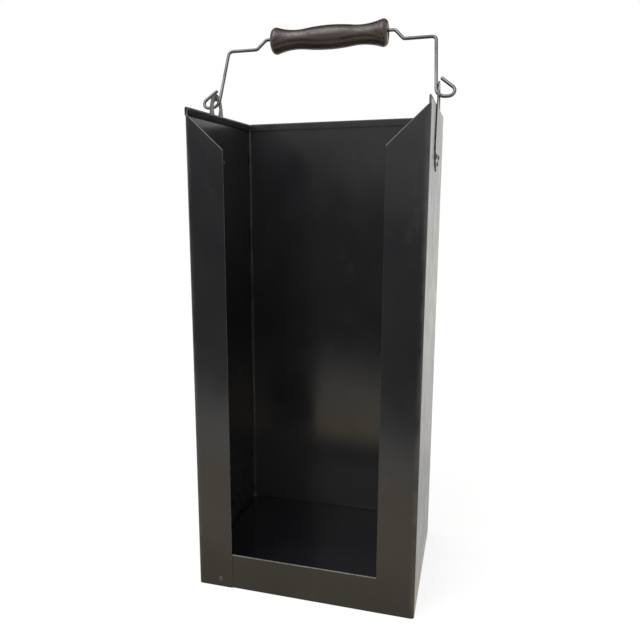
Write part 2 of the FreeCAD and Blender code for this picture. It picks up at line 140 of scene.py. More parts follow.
# Lighter tone low inside the box: partly a film of dust, partly painted sheen
FILM_AND_SHEEN_FULL_HEIGHT = 80 * MM
FILM_AND_SHEEN_END_HEIGHT = 150 * MM
FILM_AND_SHEEN_SHARE = 0.28
CHIP = 3 * MM
EDGE_WEAR_AND_HIGHLIGHT = 1.1 * MM
EDGE_WEAR_AND_HIGHLIGHT_FULL = 0.5 * EDGE_WEAR_AND_HIGHLIGHT
FRONT_DEPTH = 3 * SHEET
BEND_RUB = 2 * (BEND_RADIUS + SHEET)
BEND_RUB_FULL = 0.4 * (BEND_RADIUS + SHEET)
BEND_RUB_SHARE = 0.25
BOW = 130 * MM
BOW_DEPTH = 1.2 * MM
WAVE = 45 * MM
WAVE_DEPTH = 0.5 * MM
PEEL = 1.5 * MM
PEEL_DEPTH = 0.004 * MM
HAZE_LEVEL = 0.11
HAZE_SPREAD = (-0.04, 0.05)
SKIN_WEIGHT = 0.82
SKIN_SPREAD = (-0.02, 0.04)

# Wire and wood: sizes of their marks, depths and shares
WIRE_PATCH = 24 * MM
WIRE_GRAIN = 1.2 * MM
WIRE_GRAIN_DEPTH = 0.0006 * MM
WIRE_GRAIN_SHARE = 0.08
WIRE_METAL = (0.6, 0.85)
WIRE_ROUGHNESS = (0.20, 0.27)
WOOD_ROUGHNESS = (0.30, 0.44)
HEART_OFFSET = Vector((0, 21, -14)) * MM
RING_SPACING = 3.2 * MM
RING_RUN = 26 * MM
RING_WAVE = 0.314
RING_SHARE = 0.45
STREAK = 1.1 * MM
STREAK_DEPTH = 0.12 * MM
STREAK_SHARE = 0.7
PORE = 0.42 * MM
PORE_DEPTH = 0.05 * MM
PORE_SHARE = 0.75
PORE_ROUGHNESS = 0.2
BLOTCH = 16 * MM
BLOTCH_SHARE = 0.55
TOOL_MARK = 1.4 * MM
TOOL_MARK_DEPTH = 0.004 * MM
WORN_FROM_END = 7 * MM
WORN_FULLY_FROM_END = 1 * MM
WORN_SHARE = 0.6

# View of the photograph, on an image 640 pixels wide
IMAGE_WIDTH = 640
FOCAL_PIXELS = 658.9
AXIS_PIXEL = 273
VIEW_AZIMUTH = math.radians(17.34)
VIEW_ELEVATION = math.radians(10.91)
VIEW_ROLL = math.radians(-0.54)
VIEW_DISTANCE = 658.4 * MM
VIEW_TARGET = Vector((-51.0, 0.0, 247.7)) * MM
SENSOR_MM = 36.0

# Studio
WHITE = (1, 1, 1, 1)
SURROUNDINGS = (1.0, 0.992, 0.97, 1)
LAMP_SIZE = 1.1
LAMP_WATTS = 22
LAMP_PLACE = Vector((-0.4, -0.85, 1.75))
LAMP_AIM = Vector((0, 0, 0.25))
FLOOR_SIZE = 12.0
FLOOR_WHITE = 1.015
FLOOR_WHITE_SHARE = 0.80
FLOOR_SHADED = (0.97, 0.97, 0.97, 1)
FLOOR_PLAIN = (0.75, 0.747, 0.73, 1)
FLOOR_FAR = (0.99, 0.985, 0.93, 1)
FLOOR_WARM = (0.84, 0.72, 0.52, 1)
WARM_MIDDLE = 200 * MM
WARM_CORE = 80 * MM
WARM_REACH = 260 * MM
PAINTED_GLOW_FRONT_FADE = 120 * MM
PAINTED_GLOW_BACK_START = 60 * MM
PAINTED_GLOW_BACK_END = 260 * MM
FAR_START = 500 * MM
FAR_END = 1800 * MM
FELT_LEVEL = 0.05
CARD_FOOT_DISTANCE = 520 * MM
CARD_TOP_DISTANCE = 1880 * MM
CARD_LEFT = -2000 * MM
CARD_RIGHT = 570 * MM
CARD_LEFT_HEIGHT = 780 * MM
CARD_RIGHT_HEIGHT = 5 * MM
REAR_CARD_WIDTH = 2400 * MM
REAR_CARD_NEAR = 150 * MM
REAR_CARD_HIGH = 1700 * MM
REAR_CARD_FAR = 1300 * MM
REAR_CARD_LOW = 1000 * MM

# Places taken from the frame
shell_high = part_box("body_shell")[1]
wall_x = shell_high.x
back_y = shell_high.y
front_y = -back_y
rim = shell_high.z
pivot = Vector(joints["bail_swing"]["pos_m"])
grip_middle = Vector(joints["grip_spin"]["pos_m"])
bail_rise = Vector((0, math.sin(BAIL_LEAN), math.cos(BAIL_LEAN)))
grip_low, grip_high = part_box("grip")
grip_end_x = (grip_high.x - grip_low.x) / 2


def connect(tree, node, inputs):
    """Sets inputs of a node. Each is either a plain value or the output of another node."""
    for key, source in inputs.items():
        if isinstance(source, bpy.types.NodeSocket):
            tree.links.new(source, node.inputs[key])
        else:
            node.inputs[key].default_value = source


def add_node(tree, kind, inputs=None, **settings):
    node = tree.nodes.new(kind)
    for name, setting in settings.items():
        setattr(node, name, setting)
    connect(tree, node, inputs or {})
    return node


def calculate(tree, operation, first, second=0.0):
    return add_node(tree, "ShaderNodeMath", {0: first, 1: second}, operation=operation).outputs["Value"]


def times(tree, first, second):
    return calculate(tree, "MULTIPLY", first, second)


def plus(tree, first, second):
    return calculate(tree, "ADD", first, second)


# Materials

def new_material(name):
    material = bpy.data.materials.new(name)
    material.use_nodes = True
    material.node_tree.nodes.clear()
    return material, material.node_tree


def new_finish(name):
    """A material with one shader. Returns it with its tree, the shader and the place on the piece."""
    material, tree = new_material(name)
    shader = add_node(tree, "ShaderNodeBsdfPrincipled")
    add_node(tree, "ShaderNodeOutputMaterial", {"Surface": shader.outputs["BSDF"]})
    place = add_node(tree, "ShaderNodeTexCoord").outputs["Object"]
    return material, tree, shader, place


def grains(tree, place, size, stretch=(1, 1, 1), detail=2.0):
    """Noise with spots of about the given size, drawn out along the axes by stretch."""
    mapping = add_node(
        tree,
        "ShaderNodeMapping",
        {"Vector": place, "Scale": tuple(size * share for share in stretch)},
        vector_type="TEXTURE",
    )
    texture = add_node(
        tree,
        "ShaderNodeTexNoise",
        {"Vector": mapping.outputs["Vector"], "Scale": 1.0, "Detail": detail},
    )
    return texture.outputs["Fac"]


def spread(tree, source, old, new=(0, 1)):
    """Carries one pair of limits over to another, with soft ends."""
    ranged = add_node(
        tree,
        "ShaderNodeMapRange",
        {"Value": source, 1: old[0], 2: old[1], 3: new[0], 4: new[1]},
        interpolation_type="SMOOTHSTEP",
    )
    return ranged.outputs["Result"]


def mix_colours(tree, factor, first, second):
    mixed = add_node(tree, "ShaderNodeMix", {0: factor, 6: first, 7: second}, data_type="RGBA")
    return mixed.outputs[2]


def mix_shaders(tree, factor, first, second):
    return add_node(tree, "ShaderNodeMixShader", {0: factor, 1: first, 2: second}).outputs["Shader"]


def raise_surface(tree, height, depth, under=None):
    inputs = {"Height": height, "Distance": depth, "Strength": 1.0}
    if under is not None:
        inputs["Normal"] = under
    return add_node(tree, "ShaderNodeBump", inputs).outputs["Normal"]


def grey(level, warmth=0.0):
    return (level * (1 + warmth), level, level * (1 - warmth), 1.0)


def bend_rub(tree, place):
    """One along the four upright bends of the box, nought on its flat walls."""
    parts = add_node(tree, "ShaderNodeSeparateXYZ", {"Vector": place}).outputs
    across = calculate(tree, "ABSOLUTE", parts["X"])
    along = calculate(tree, "ABSOLUTE", parts["Y"])
    near_side = spread(tree, across, (wall_x - BEND_RUB, wall_x - BEND_RUB_FULL))
    near_end = spread(tree, along, (back_y - BEND_RUB, back_y - BEND_RUB_FULL))
    return times(tree, near_side, near_end)


def edge_wear_and_highlight(tree, place):
    """Mask for worn paint and painted highlight: one along the mitred tops of the flanges and the top of the
    lip, nought a little way off.
    """
    parts = add_node(tree, "ShaderNodeSeparateXYZ", {"Vector": place}).outputs
    across = calculate(tree, "ABSOLUTE", parts["X"])
    slope = MITRE_DROP / FLANGE_WIDTH
    mitre_over_lip = rim - MITRE_BELOW_RIM - LIP_HEIGHT - wall_x * slope
    mitre = plus(tree, times(tree, across, slope), mitre_over_lip)
    on_flange = calculate(tree, "GREATER_THAN", across, wall_x - FLANGE_WIDTH)
    top = plus(tree, times(tree, mitre, on_flange), LIP_HEIGHT)
    off_top = calculate(tree, "ABSOLUTE", calculate(tree, "SUBTRACT", top, parts["Z"]))
    near_top = spread(tree, off_top, (EDGE_WEAR_AND_HIGHLIGHT_FULL, EDGE_WEAR_AND_HIGHLIGHT), (1, 0))
    on_front = calculate(tree, "LESS_THAN", parts["Y"], front_y + FRONT_DEPTH)
    return times(tree, near_top, on_front)


def dust_film_and_painted_sheen(tree, place):
    """Mask for a lighter tone low inside, partly a film of dust and partly painted sheen: one on the inner
    faces of the walls near the floor, nought outside, in front and higher up.
    """
    parts = add_node(tree, "ShaderNodeSeparateXYZ", {"Vector": place}).outputs
    across = calculate(tree, "ABSOLUTE", parts["X"])
    corner = BEND_RADIUS + SHEET
    past_side = calculate(tree, "MAXIMUM", calculate(tree, "SUBTRACT", across, wall_x - corner), 0.0)
    past_back = calculate(tree, "MAXIMUM", calculate(tree, "SUBTRACT", parts["Y"], back_y - corner), 0.0)
    off_corner = plus(tree, times(tree, past_side, past_side), times(tree, past_back, past_back))
    inside = calculate(tree, "LESS_THAN", off_corner, (BEND_RADIUS + SHEET / 2) ** 2)
    behind_front = calculate(tree, "GREATER_THAN", parts["Y"], front_y + FRONT_DEPTH)
    low = spread(tree, parts["Z"], (FILM_AND_SHEEN_FULL_HEIGHT, FILM_AND_SHEEN_END_HEIGHT), (1, 0))
    return times(tree, times(tree, inside, behind_front), low)


def black_paint(name, deep, faded, haze, gloss, skin_index=1.5, worn=False):
    """Satin black paint on steel: a hazy coat with a clearer skin, clouded and a little dusty.

    Worn paint is also rubbed at its bends and edges, whose lighter tops are partly painted highlight, and low
    in the box it turns lighter, partly a film of dust and partly painted sheen.
    """
    material, tree, shader, place = new_finish(name)
    scuffed, scratched, dusty = grey(0.035, 0.04), grey(0.07, 0.04), grey(0.10, 0.08)
    film_and_sheen, rubbed, bare_and_highlight = grey(0.05, 0.03), grey(0.09, 0.04), grey(0.15)
    cloud = grains(tree, place, CLOUD, detail=3)
    patches = grains(tree, place, PATCH, detail=4)
    scuffs = grains(tree, place, SCUFF, stretch=(1, 1, 2.5), detail=6)
    dust = spread(tree, grains(tree, place, DUST, detail=1), (0.74, 0.82))
    hairline = spread(tree, grains(tree, place, HAIRLINE, stretch=(1, 1, 70), detail=1), (0.70, 0.78))

    colour = mix_colours(tree, spread(tree, cloud, (0.3, 0.7)), deep, faded)
    colour = mix_colours(tree, spread(tree, scuffs, (0.62, 0.74), (0, SCUFF_SHARE)), colour, scuffed)
    colour = mix_colours(tree, times(tree, hairline, HAIRLINE_SHARE), colour, scratched)
    colour = mix_colours(tree, times(tree, dust, DUST_SHARE), colour, dusty)
    if worn:
        # Lighter low inside: partly a film of dust, partly painted sheen
        colour = mix_colours(tree, times(tree, dust_film_and_painted_sheen(tree, place), FILM_AND_SHEEN_SHARE), colour, film_and_sheen)
        wear = spread(tree, patches, (0.35, 0.65), (0.15, 1))
        bends = times(tree, times(tree, bend_rub(tree, place), wear), BEND_RUB_SHARE)
        colour = mix_colours(tree, bends, colour, rubbed)
        # Lighter mitre and lip tops: worn paint, partly painted highlight
        chips = spread(tree, grains(tree, place, CHIP, detail=2), (0.3, 0.6), (0.45, 1))
        colour = mix_colours(tree, times(tree, edge_wear_and_highlight(tree, place), chips), colour, bare_and_highlight)

    roughness = spread(tree, patches, (0.25, 0.75), [haze + change for change in HAZE_SPREAD])
    skin = spread(tree, patches, (0.25, 0.75), [gloss + change for change in SKIN_SPREAD])
    bows = raise_surface(tree, grains(tree, place, BOW, detail=1), BOW_DEPTH)
    waves = raise_surface(tree, grains(tree, place, WAVE, stretch=(1, 1, 3), detail=1), WAVE_DEPTH, bows)
    peel = raise_surface(tree, grains(tree, place, PEEL, detail=1), PEEL_DEPTH, waves)
    connect(
        tree,
        shader,
        {
            "Base Color": colour,
            "Roughness": plus(tree, roughness, times(tree, dust, DUST_ROUGHNESS)),
            "Specular IOR Level": HAZE_LEVEL,
            "Normal": raise_surface(tree, dust, DUST_DEPTH, peel),
            "Coat Weight": SKIN_WEIGHT,
            "Coat Roughness": plus(tree, skin, times(tree, hairline, HAIRLINE_ROUGHNESS)),
            "Coat IOR": skin_index,
            "Coat Normal": peel,
        },
    )
    return material


def lacquered_wire():
    """Drawn wire under thin dark lacquer, with lighter rubbed stretches."""
    material, tree, shader, place = new_finish("lacquered_wire")
    lacquer, rubbed, speck = grey(0.075, 0.02), grey(0.135, 0.03), grey(0.03, 0.05)
    patches = grains(tree, place, WIRE_PATCH, detail=3)
    fine = grains(tree, place, WIRE_GRAIN, detail=2)
    specks = spread(tree, fine, (0.6, 0.75), (0, WIRE_GRAIN_SHARE))
    colour = mix_colours(tree, spread(tree, patches, (0.35, 0.70)), lacquer, rubbed)
    connect(
        tree,
        shader,
        {
            "Base Color": mix_colours(tree, specks, colour, speck),
            "Metallic": spread(tree, patches, (0.35, 0.7), WIRE_METAL),
            "Roughness": spread(tree, fine, (0.3, 0.7), WIRE_ROUGHNESS),
            "Normal": raise_surface(tree, fine, WIRE_GRAIN_DEPTH),
        },
    )
    return material


def stained_wood():
    """Turned beech under dark brown stain: rings, long pores, tool marks and paler worn ends."""
    material, tree, shader, place = new_finish("stained_wood")
    dark_stain = (0.0105, 0.0068, 0.0058, 1)
    light_stain = (0.044, 0.028, 0.022, 1)
    red_blotch = (0.022, 0.0125, 0.0108, 1)
    dark_pore = (0.007, 0.004, 0.0035, 1)
    worn_wood = (0.075, 0.052, 0.041, 1)

    heart = grip_middle + HEART_OFFSET
    rings_at = add_node(
        tree,
        "ShaderNodeMapping",
        {"Vector": place, "Location": tuple(heart), "Scale": (RING_RUN, RING_SPACING, RING_SPACING)},
        vector_type="TEXTURE",
    ).outputs["Vector"]
    rings = add_node(
        tree,
        "ShaderNodeTexWave",
        {"Vector": rings_at, "Scale": RING_WAVE, "Distortion": 2.2, "Detail": 2.0, "Detail Scale": 0.8},
        wave_type="RINGS",
        rings_direction="X",
    ).outputs["Fac"]
    streaks = grains(tree, place, STREAK, stretch=(22, 1, 1), detail=3)
    pores = spread(tree, grains(tree, place, PORE, stretch=(16, 1, 1), detail=1), (0.60, 0.72))
    blotch = grains(tree, place, BLOTCH, stretch=(2, 1, 1), detail=2)

    figure = plus(tree, times(tree, rings, RING_SHARE), times(tree, streaks, STREAK_SHARE))
    colour = mix_colours(tree, spread(tree, figure, (0.25, 0.85)), dark_stain, light_stain)
    colour = mix_colours(tree, spread(tree, blotch, (0.35, 0.7), (0, BLOTCH_SHARE)), colour, red_blotch)
    colour = mix_colours(tree, times(tree, pores, PORE_SHARE), colour, dark_pore)

    parts = add_node(tree, "ShaderNodeSeparateXYZ", {"Vector": place}).outputs
    along = calculate(tree, "ABSOLUTE", parts["X"])
    ends = spread(tree, along, (grip_end_x - WORN_FROM_END, grip_end_x - WORN_FULLY_FROM_END))
    worn = times(tree, ends, spread(tree, streaks, (0.4, 0.62), (0, WORN_SHARE)))

    roughness = spread(tree, streaks, (0.3, 0.7), WOOD_ROUGHNESS)
    solid = calculate(tree, "SUBTRACT", 1.0, pores)
    tool_marks = calculate(tree, "SINE", times(tree, parts["X"], 2 * math.pi / TOOL_MARK))
    turned = raise_surface(tree, tool_marks, TOOL_MARK_DEPTH)
    grain = raise_surface(tree, streaks, STREAK_DEPTH, turned)
    connect(
        tree,
        shader,
        {
            "Base Color": mix_colours(tree, worn, colour, worn_wood),
            "Roughness": plus(tree, roughness, times(tree, pores, PORE_ROUGHNESS)),
            "Normal": raise_surface(tree, solid, PORE_DEPTH, grain),
        },
    )
    return material


# Geometry Nodes trees

def new_tree(name, numbers):
    """A tree with named inputs: seed geometry, its numbers and the finish. Returns it with these inputs."""
    tree = bpy.data.node_groups.new(name, "GeometryNodeTree")
    tree.interface.new_socket("Seed", in_out="INPUT", socket_type="NodeSocketGeometry")
    for label, kind in numbers.items():
        tree.interface.new_socket(label, in_out="INPUT", socket_type=kind)
    tree.interface.new_socket("Finish", in_out="INPUT", socket_type="NodeSocketMaterial")
    tree.interface.new_socket("Shape", in_out="OUTPUT", socket_type="NodeSocketGeometry")
    return tree, tree.nodes.new("NodeGroupInput").outputs


def close_tree(tree, given, shape):
    """Ends a tree with smooth faces, real geometry and the finish."""
    smooth = add_node(tree, "GeometryNodeSetShadeSmooth", {"Geometry": shape})
    real = add_node(tree, "GeometryNodeRealizeInstances", {"Geometry": smooth.outputs["Geometry"]})
    finished = add_node(
        tree,
        "GeometryNodeSetMaterial",
        {"Geometry": real.outputs["Geometry"], "Material": given["Finish"]},
    )
    add_node(tree, "NodeGroupOutput", {"Shape": finished.outputs["Geometry"]})
    return tree


def bent_wire_tree():
    """Round wire along a line of straight runs, each corner bent to the radius stored on it."""
    tree, given = new_tree(
        "bent_wire",
        {"Diameter": "NodeSocketFloat", "Sides": "NodeSocketInt", "Bend Steps": "NodeSocketInt"},
    )
    line = add_node(tree, "GeometryNodeMeshToCurve", {"Mesh": given["Seed"]})
    bend = add_node(tree, "GeometryNodeInputNamedAttribute", {"Name": "bend"}, data_type="FLOAT")
    path = add_node(
        tree,
        "GeometryNodeFilletCurve",
        {"Curve": line.outputs["Curve"], "Count": given["Bend Steps"], "Radius": bend.outputs["Attribute"]},
        mode="POLY",
    )
    section = add_node(
        tree,
        "GeometryNodeCurvePrimitiveCircle",
        {"Resolution": given["Sides"], "Radius": times(tree, given["Diameter"], 0.5)},
    )
    swept = add_node(
        tree,
        "GeometryNodeCurveToMesh",
        {"Curve": path.outputs["Curve"], "Profile Curve": section.outputs["Curve"], "Fill Caps": True},
    )
    return close_tree(tree, given, swept.outputs["Mesh"])


def sweep_round(tree, profile, radius, sides):
    """Turns a profile about Z: its x runs outwards from the given radius and its y along the axis."""
    circle = add_node(tree, "GeometryNodeCurvePrimitiveCircle", {"Resolution": sides, "Radius": radius})
    swept = add_node(
        tree,
        "GeometryNodeCurveToMesh",
        {"Curve": circle.outputs["Curve"], "Profile Curve": profile},
    )
    return add_node(
        tree,
        "GeometryNodeMergeByDistance",
        {"Geometry": swept.outputs["Mesh"], "Distance": MERGE_DISTANCE},
    ).outputs["Geometry"]


def turned_tree():
    """Piece turned about X from the closed outline of its half section, whose x is the radius."""
    tree, given = new_tree("turned", {"Guide Radius": "NodeSocketFloat", "Sides": "NodeSocketInt"})
    outline = add_node(tree, "GeometryNodeMeshToCurve", {"Mesh": given["Seed"]})
    shift = add_node(tree, "ShaderNodeCombineXYZ", {"X": times(tree, given["Guide Radius"], -1.0)})
    moved = add_node(
        tree,
        "GeometryNodeTransform",
        {"Geometry": outline.outputs["Curve"], "Translation": shift.outputs["Vector"]},
    )
    upright = sweep_round(tree, moved.outputs["Geometry"], given["Guide Radius"], given["Sides"])
    lying = add_node(tree, "GeometryNodeTransform", {"Geometry": upright, "Rotation": (0, math.pi / 2, 0)})
    return close_tree(tree, given, lying.outputs["Geometry"])


def rivet_tree():
    """A domed head on every seed point, its crown along the direction stored on the point."""
    tree, given = new_tree(
        "rivets",
        {"Diameter": "NodeSocketFloat", "Height": "NodeSocketFloat", "Sides": "NodeSocketInt"},
    )
    radius = times(tree, given["Diameter"], 0.5)
    centre = times(tree, radius, -1.0)
    rise = times(tree, given["Height"], -1.0)
    crown = add_node(tree, "ShaderNodeCombineXYZ", {"X": centre, "Y": rise}).outputs["Vector"]
    shoulder = add_node(
        tree,
        "ShaderNodeCombineXYZ",
        {"X": times(tree, radius, -RIVET_SHOULDER_REACH), "Y": times(tree, rise, RIVET_SHOULDER_RISE)},
    ).outputs["Vector"]
    foot = add_node(tree, "ShaderNodeCombineXYZ").outputs["Vector"]
    base = add_node(tree, "ShaderNodeCombineXYZ", {"X": centre}).outputs["Vector"]
    dome = add_node(
        tree,
        "GeometryNodeCurveArc",
        {"Resolution": RIVET_ARC_POINTS, "Start": crown, "Middle": shoulder, "End": foot},
        mode="POINTS",
    )
    underside = add_node(tree, "GeometryNodeCurvePrimitiveLine", {"Start": foot, "End": base})
    outline = add_node(tree, "GeometryNodeJoinGeometry")
    tree.links.new(dome.outputs["Curve"], outline.inputs["Geometry"])
    tree.links.new(underside.outputs["Curve"], outline.inputs["Geometry"])
    head = sweep_round(tree, outline.outputs["Geometry"], radius, given["Sides"])
    facing = add_node(tree, "GeometryNodeInputNamedAttribute", {"Name": "facing"}, data_type="FLOAT_VECTOR")
    turn = add_node(
        tree,
        "FunctionNodeAlignRotationToVector",
        {"Vector": facing.outputs["Attribute"]},
        axis="Z",
    )
    placed = add_node(
        tree,
        "GeometryNodeInstanceOnPoints",
        {"Points": given["Seed"], "Instance": head, "Rotation": turn.outputs["Rotation"]},
    )
    return close_tree(tree, given, placed.outputs["Instances"])


def grow(name, seed, tree, settings):
    """Runs a tree on a seed mesh and keeps the result as a plain mesh on a new piece."""
    piece = bpy.data.objects.new(name, seed)
    bpy.context.scene.collection.objects.link(piece)
    modifier = piece.modifiers.new("shape", "NODES")
    modifier.node_group = tree
    for item in tree.interface.items_tree:
        if item.in_out == "INPUT" and item.name in settings:
            modifier[item.identifier] = settings[item.name]
    depsgraph = bpy.context.evaluated_depsgraph_get()
    mesh = bpy.data.meshes.new_from_object(piece.evaluated_get(depsgraph))
    piece.modifiers.remove(modifier)
    piece.data = mesh
    return piece


# Mesh helpers

def arc(centre, radius, start, end, steps):
    """Points along a round stretch in a plane, from one angle in degrees to another, both included."""
    angles = (math.radians(start + (end - start) * step / steps) for step in range(steps + 1))
    return [(centre[0] + radius * math.cos(a), centre[1] + radius * math.sin(a)) for a in angles]


def add_patch(mesh, columns):
    """Adds a grid of faces between neighbouring columns of points."""
    grid = [[mesh.verts.new(point) for point in column] for column in columns]
    for left, right in zip(grid, grid[1:]):
        for row in range(len(left) - 1):
            mesh.faces.new((left[row], right[row], right[row + 1], left[row + 1]))


def new_piece(name, mesh, *materials):
    """Turns finished mesh code into a piece, with its patches sewn together and its faces turned one way."""
    bmesh.ops.remove_doubles(mesh, verts=mesh.verts, dist=SEW_DISTANCE)
    bmesh.ops.recalc_face_normals(mesh, faces=mesh.faces)
    data = bpy.data.meshes.new(name)
    mesh.to_mesh(data)
    mesh.free()
    for material in materials:
        data.materials.append(material)
    data.polygons.foreach_set("use_smooth", [True] * len(data.polygons))
    piece = bpy.data.objects.new(name, data)
    bpy.context.scene.collection.objects.link(piece)
    return piece


def round_edges(piece, width, sharper_than=40):
    bevel = piece.modifiers.new("rounded_edges", "BEVEL")
    bevel.width = width
    bevel.segments = EDGE_SEGMENTS
    bevel.limit_method = "ANGLE"
    bevel.angle_limit = math.radians(sharper_than)
    flats = piece.modifiers.new("flat_faces", "WEIGHTED_NORMAL")
    flats.keep_sharp = True


def thicken(piece, thickness, edge_round, cut_edge=0):
    """Gives a middle surface the thickness of its sheet, with rounded cut edges in their own material."""
    solid = piece.modifiers.new("sheet_thickness", "SOLIDIFY")
    solid.thickness = thickness
    solid.offset = 0
    solid.use_even_offset = True
    solid.material_offset_rim = cut_edge
    round_edges(piece, edge_round)


def seed_mesh(name, points, closed=False, **attributes):
    """A line of points for a tree to work on, with a number or a direction stored on every point."""
    edges = [(index, index + 1) for index in range(len(points) - 1)]
    if closed:
        edges.append((len(points) - 1, 0))
    data = bpy.data.meshes.new(name)
    data.from_pydata(points, edges, [])
    for label, values in attributes.items():
        if isinstance(values[0], Vector):
            layer = data.attributes.new(label, "FLOAT_VECTOR", "POINT")
            layer.data.foreach_set("vector", [number for value in values for number in value])
        else:
            layer = data.attributes.new(label, "FLOAT", "POINT")
            layer.data.foreach_set("value", values)
    return data


def seat(piece, body, slot, *nodes):
    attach(piece, body)
    if nodes:
        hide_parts(*nodes)


# Pieces

def make_body_shell(paint, cut_edge_paint_and_highlight):
    """The folded blank as its middle surface: lip, right flange, three walls with hems, left flange."""
    mesh = bmesh.new()
    half = SHEET / 2
    middle_x = wall_x - half
    middle_back = back_y - half
    bend = BEND_RADIUS + half
    panel_y = front_y + SHEET + LAP_GAP + half
    flange_y = front_y + half
    flange_edge = wall_x - FLANGE_WIDTH
    hem_foot = rim - HEM_HEIGHT
    wall_top = rim - CORNER_RELIEF

    def mitre(x):
        return rim - MITRE_BELOW_RIM - (wall_x - abs(x)) * MITRE_DROP / FLANGE_WIDTH

    def mitre_below_hem(x):
        return min(mitre(x), hem_foot)

    def stand(plan, *levels):
        """Upright strip over a line in plan. A level is a height or a rule that gives it from x."""
        add_patch(
            mesh,
            [[(x, y, level(x) if callable(level) else level) for level in levels] for x, y in plan],
        )

    def hem_section(gap, foot_gap):
        """Line of a hem as reach inwards and height, from the wall's top over the fold to its free edge."""
        radius = (SHEET + gap) / 2
        fold = arc((radius, rim - half - radius), radius, 180, 0, HEM_STEPS)
        return [(0, wall_top), *fold, (SHEET + foot_gap, hem_foot)]

    lip = [(-flange_edge - LAP_WIDTH, panel_y), (flange_edge, panel_y)]
    right_bend = arc((middle_x - bend, panel_y + bend), bend, -90, 0, BEND_STEPS)
    back_right_bend = arc((middle_x - bend, middle_back - bend), bend, 0, 90, BEND_STEPS)
    back_left_bend = arc((bend - middle_x, middle_back - bend), bend, 90, 180, BEND_STEPS)
    left_bend = arc((bend - middle_x, flange_y + bend), bend, 180, 270, BEND_STEPS)
    walls = [right_bend[-1], *back_right_bend, *back_left_bend, left_bend[0]]
    stand(lip, 0, LIP_HEIGHT)
    stand([lip[-1], *right_bend], 0, LIP_HEIGHT, mitre_below_hem)
    stand(right_bend[1:-1], hem_foot, mitre)
    stand(walls, 0, LIP_HEIGHT, hem_foot, wall_top)
    stand([*left_bend, (-flange_edge, flange_y)], 0, LIP_HEIGHT, mitre_below_hem)
    stand(left_bend[1:-1], hem_foot, mitre)

    hem_front = front_y + HEM_SETBACK
    for side, wall_front, gap, foot_gap in (
        (1, right_bend[-1][1], RIGHT_HEM_GAP, RIGHT_HEM_GAP),
        (-1, left_bend[0][1], LEFT_HEM_GAP, LEFT_HEM_FOOT_GAP),
    ):
        section = hem_section(gap, foot_gap)
        rim_line = (hem_front, wall_front, back_right_bend[0][1])
        add_patch(mesh, [[(side * (middle_x - inward), y, z) for inward, z in section] for y in rim_line])
        stand([(side * middle_x, y) for y in (hem_front, wall_front)], hem_foot, wall_top)
    section = hem_section(BACK_HEM_GAP, BACK_HEM_GAP)
    back_line = (back_right_bend[-1][0], back_left_bend[0][0])
    add_patch(mesh, [[(x, middle_back - inward, z) for inward, z in section] for x in back_line])

    piece = new_piece("folded_body", mesh, paint, cut_edge_paint_and_highlight)
    thicken(piece, SHEET, SHEET_EDGE_ROUND, cut_edge=1)
    seat(piece, "carrier", "painted_sheet", "body_shell")


def make_ear(node, paint):
    """Pear-shaped plate: an outline round the eye's ring and the wider plate, with faces out from the eye."""
    low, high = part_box(node)
    middle_x = (low.x + high.x) / 2
    centre_y = (low.y + high.y) / 2
    plate_radius = (high.y - low.y) / 2
    eye = (centre_y, high.z - EYE_RING_RADIUS)
    plate = (centre_y, low.z + plate_radius)
    flare = math.degrees(math.asin((plate_radius - EYE_RING_RADIUS) / (eye[1] - plate[1])))
    outline = arc(eye, EYE_RING_RADIUS, flare, 180 - flare, EAR_STEPS)
    outline += arc(plate, plate_radius, 180 - flare, 360 + flare, EAR_STEPS)
    outline.append(outline[0])

    mesh = bmesh.new()
    columns = []
    for y, z in outline:
        reach = math.hypot(y - eye[0], z - eye[1])
        inner = [eye[0] + (y - eye[0]) * EYE_RADIUS / reach, eye[1] + (z - eye[1]) * EYE_RADIUS / reach]
        columns.append([(middle_x, *inner), (middle_x, y, z)])
    add_patch(mesh, columns)
    piece = new_piece(f"{node}_plate", mesh, paint)
    thicken(piece, high.x - low.x, EAR_EDGE_ROUND)
    seat(piece, "carrier", "painted_fitting", node)


def make_rivets(paint):
    """Domed heads outside and flatter closing heads inside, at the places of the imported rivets."""
    nodes = [node for node in frame["nodes"] if "rivet" in node]
    heads = []
    tails = []
    outward = []
    for node in nodes:
        low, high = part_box(node)
        seat_point = (low + high) / 2
        inside_point = seat_point.copy()
        axis = 1 if node == "lap_rivet" else 0
        side = 1 if seat_point[axis] > 0 else -1
        outer, inner = (high, low) if side > 0 else (low, high)
        seat_point[axis] = outer[axis] - side * RIVET_HEAD_HEIGHT
        inside_point[axis] = inner[axis] + side * RIVET_TAIL_HEIGHT
        facing = Vector()
        facing[axis] = side
        heads.append(seat_point)
        tails.append(inside_point)
        outward.append(facing)
    inward = [-facing for facing in outward]
    tree = rivet_tree()
    shared = {"Sides": RIVET_SIDES, "Finish": paint}
    outer_heads = grow(
        "rivet_heads",
        seed_mesh("head_places", heads, facing=outward),
        tree,
        {"Diameter": RIVET_HEAD, "Height": RIVET_HEAD_HEIGHT, **shared},
    )
    closing_heads = grow(
        "rivet_closing_heads",
        seed_mesh("closing_places", tails, facing=inward),
        tree,
        {"Diameter": RIVET_TAIL, "Height": RIVET_TAIL_HEIGHT, **shared},
    )
    seat(outer_heads, "carrier", "painted_fitting", *nodes)
    seat(closing_heads, "carrier", "painted_fitting")


